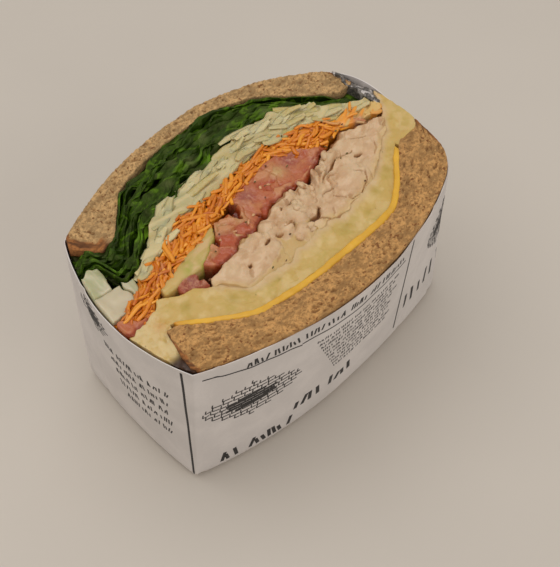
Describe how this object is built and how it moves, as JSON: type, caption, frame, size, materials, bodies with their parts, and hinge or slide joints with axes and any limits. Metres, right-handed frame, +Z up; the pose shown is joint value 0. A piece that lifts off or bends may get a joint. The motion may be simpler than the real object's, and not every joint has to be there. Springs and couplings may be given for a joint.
{
  "type": "chicken breast sandwich",
  "caption": "Half of a thick filled sandwich on wholemeal bread with chicken, egg, cheese and salad, in a paper wrap, cut face up.",
  "frame": {"origin": "centre of the object's bounding box at its bottom, where the wrap rests", "axes": "+X along the cut face's long side from the wide end to the narrow end, +Y towards the slice behind the lettuce, +Z up out of the cut face"},
  "size_m": [0.1178, 0.0853, 0.0706],
  "materials": {
    "wholemeal_bread": "soft open crumb with a thin brown crust",
    "cheese": "smooth, slightly waxy",
    "egg_filling": "moist, lumpy",
    "chicken_meat": "moist, fibrous",
    "tomato_flesh": "wet",
    "pale_green_flesh": "wet",
    "carrot": "moist shreds",
    "cabbage": "moist shreds",
    "lettuce_rib": "wet, translucent",
    "lettuce_leaf": "satin, ruffled",
    "greaseproof_paper": null
  },
  "bodies": {
    "root": {"bread_front": "wholemeal_bread", "bread_back": "wholemeal_bread", "cheese_slice": "cheese", "egg_salad": "egg_filling", "chicken_chunk_1": "chicken_meat", "chicken_chunk_2": "chicken_meat", "chicken_chunk_3": "chicken_meat", "chicken_chunk_4": "chicken_meat", "chicken_chunk_5": "chicken_meat", "tomato_slice_1": "tomato_flesh", "tomato_slice_2": "tomato_flesh", "tomato_slice_3": "tomato_flesh", "tomato_piece_small": "tomato_flesh", "tomato_piece_end": "tomato_flesh", "green_strip": "pale_green_flesh", "carrot_shreds": "carrot", "cabbage_shreds": "cabbage", "lettuce_rib_1": "lettuce_rib", "lettuce_rib_2": "lettuce_rib", "lettuce_rib_3": "lettuce_rib", "lettuce_leaves": "lettuce_leaf", "paper_wrap": "greaseproof_paper"}
  },
  "joints": []
}
